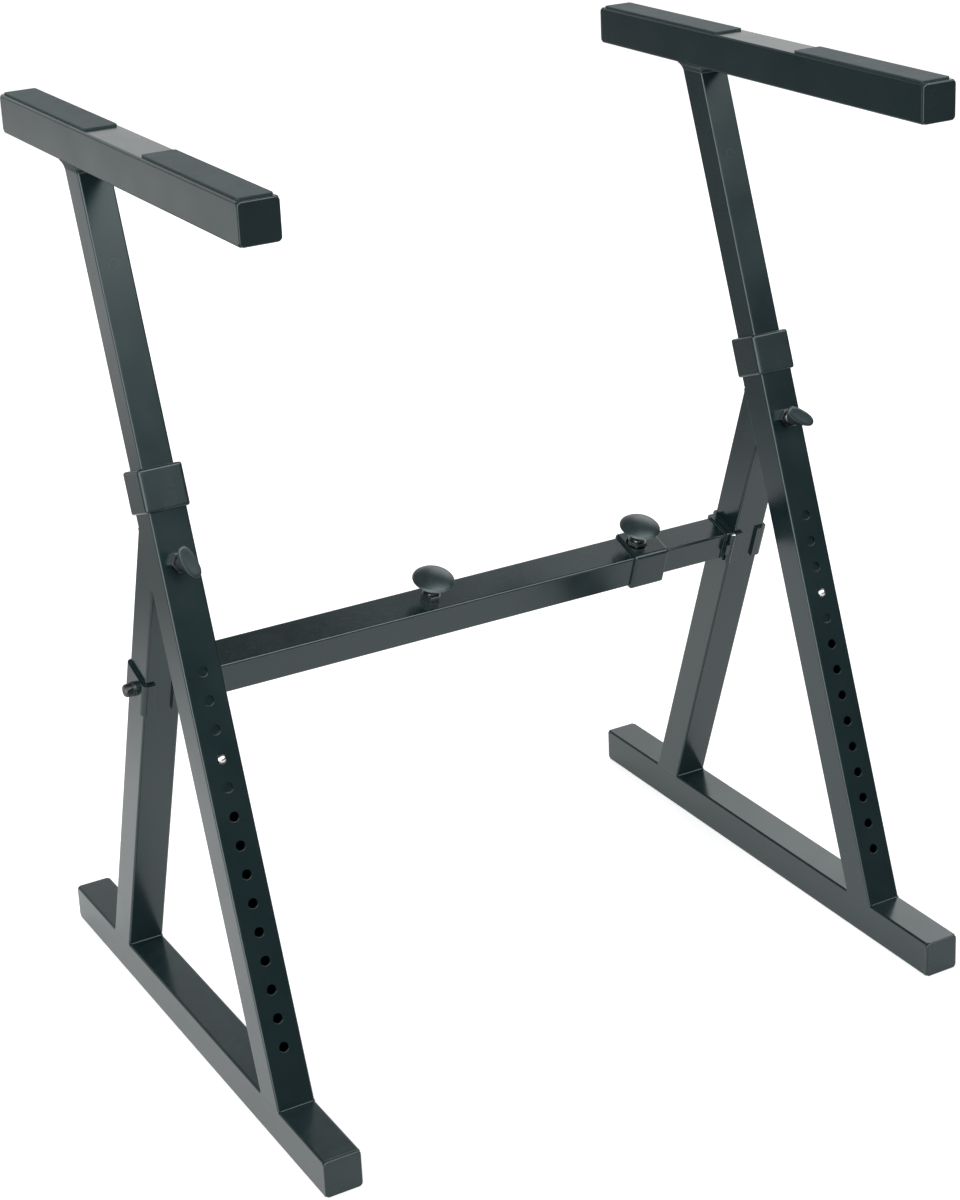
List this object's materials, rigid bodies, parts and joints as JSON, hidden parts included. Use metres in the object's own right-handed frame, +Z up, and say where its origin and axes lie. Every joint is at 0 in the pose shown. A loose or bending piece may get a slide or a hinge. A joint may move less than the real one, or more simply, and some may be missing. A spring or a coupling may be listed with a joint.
{
  "type": "folding keyboard stand",
  "caption": "Folding Z-style keyboard stand of square black tube, with telescoping legs and crossbar, padded arms and folding side frames.",
  "frame": {"origin": "on the floor, midway between the two sides and midway along the feet", "axes": "+X from the left side to the right side, +Y from front to back, +Z up"},
  "size_m": [0.691, 0.562, 0.847],
  "materials": {
    "black_coat": "semi-gloss powder coat",
    "black_plastic": "matte moulded",
    "black_rubber": "matte",
    "bright_zinc": "bright zinc plate",
    "dark_steel": "black oxide"
  },
  "bodies": {
    "crossbar": {"crossbar_outer_tube": "black_coat", "crossbar_collar": "black_plastic", "left_hinge_plate": "black_coat", "crossbar_nut_left": "bright_zinc", "crossbar_nut_right": "bright_zinc"},
    "crossbar_inner": {"crossbar_inner_tube": "black_coat", "crossbar_guide": "black_plastic", "right_hinge_plate": "black_coat"},
    "left_frame": {"left_foot_tube": "black_coat", "left_foot_front_cap": "black_plastic", "left_foot_back_cap": "black_plastic", "left_leg_tube": "black_coat", "left_strut_tube": "black_coat", "left_leg_collar": "black_plastic", "left_leg_nut": "bright_zinc", "left_outer_saddle": "black_coat", "left_inner_saddle": "black_coat", "left_hinge_pin": "bright_zinc"},
    "left_upright": {"left_inner_post": "black_coat", "left_post_guide": "black_plastic", "left_arm_tube": "black_coat", "left_arm_front_cap": "black_plastic", "left_arm_back_cap": "black_plastic", "left_front_pad": "black_rubber", "left_back_pad": "black_rubber"},
    "left_snap_button": {"left_snap_button": "bright_zinc", "left_snap_leaf": "bright_zinc"},
    "left_wing_knob": {"left_wing_knob": "black_plastic", "left_wing_stud": "bright_zinc"},
    "left_lock_bolt": {"left_lock_bolt": "dark_steel"},
    "width_knob_left": {"width_knob_left": "black_plastic", "width_stud_left": "bright_zinc"},
    "right_frame": {"right_foot_tube": "black_coat", "right_foot_front_cap": "black_plastic", "right_foot_back_cap": "black_plastic", "right_leg_tube": "black_coat", "right_strut_tube": "black_coat", "right_leg_collar": "black_plastic", "right_leg_nut": "bright_zinc", "right_outer_saddle": "black_coat", "right_inner_saddle": "black_coat", "right_hinge_pin": "bright_zinc"},
    "right_upright": {"right_inner_post": "black_coat", "right_post_guide": "black_plastic", "right_arm_tube": "black_coat", "right_arm_front_cap": "black_plastic", "right_arm_back_cap": "black_plastic", "right_front_pad": "black_rubber", "right_back_pad": "black_rubber"},
    "right_snap_button": {"right_snap_button": "bright_zinc", "right_snap_leaf": "bright_zinc"},
    "right_wing_knob": {"right_wing_knob": "black_plastic", "right_wing_stud": "bright_zinc"},
    "right_lock_bolt": {"right_lock_bolt": "dark_steel"},
    "width_knob_right": {"width_knob_right": "black_plastic", "width_stud_right": "bright_zinc"}
  },
  "joints": [
    {"name": "width_slide", "type": "slide", "parent": "crossbar", "child": "crossbar_inner", "axis": [1, 0, 0], "range_m": [-0.064, 0.312]},
    {"name": "left_fold", "type": "hinge", "parent": "crossbar", "child": "left_frame", "pos_m": [-0.2955, 0.03261, 0.3346], "axis": [0, -0.3382, 0.9411], "range_deg": [0, 90]},
    {"name": "left_height", "type": "slide", "parent": "left_frame", "child": "left_upright", "axis": [0, 0.3315, 0.9435], "range_m": [-0.2286, 0.0762]},
    {"name": "left_snap", "type": "slide", "parent": "left_upright", "child": "left_snap_button", "axis": [0, 0.9435, -0.3315], "range_m": [0, 0.0056], "stiffness_N_per_m": 900, "springref_m": -0.004},
    {"name": "left_wing_turn", "type": "hinge", "parent": "left_frame", "child": "left_wing_knob", "pos_m": [-0.3155, -0.03509, 0.48597], "axis": [0, -0.9435, 0.3315], "range_deg": [0, 360]},
    {"name": "left_lock_draw", "type": "slide", "parent": "left_frame", "child": "left_lock_bolt", "axis": [-1, 0, 0], "range_m": [0, 0.012]},
    {"name": "width_knob_left_turn", "type": "hinge", "parent": "crossbar", "child": "width_knob_left", "pos_m": [-0.037, 0.04485, 0.35759], "axis": [0, -0.3382, 0.9411], "range_deg": [0, 360]},
    {"name": "right_fold", "type": "hinge", "parent": "crossbar_inner", "child": "right_frame", "pos_m": [0.2955, 0.03261, 0.3346], "axis": [0, 0.3382, -0.9411], "range_deg": [0, 90]},
    {"name": "right_height", "type": "slide", "parent": "right_frame", "child": "right_upright", "axis": [0, 0.3315, 0.9435], "range_m": [-0.2286, 0.0762]},
    {"name": "right_snap", "type": "slide", "parent": "right_upright", "child": "right_snap_button", "axis": [0, 0.9435, -0.3315], "range_m": [0, 0.0056], "stiffness_N_per_m": 900, "springref_m": -0.004},
    {"name": "right_wing_turn", "type": "hinge", "parent": "right_frame", "child": "right_wing_knob", "pos_m": [0.3155, -0.03509, 0.48597], "axis": [0, -0.9435, 0.3315], "range_deg": [0, 360]},
    {"name": "right_lock_draw", "type": "slide", "parent": "right_frame", "child": "right_lock_bolt", "axis": [1, 0, 0], "range_m": [0, 0.012]},
    {"name": "width_knob_right_turn", "type": "hinge", "parent": "crossbar", "child": "width_knob_right", "pos_m": [0.1924, 0.04485, 0.35759], "axis": [0, -0.3382, 0.9411], "range_deg": [0, 360]}
  ]
}
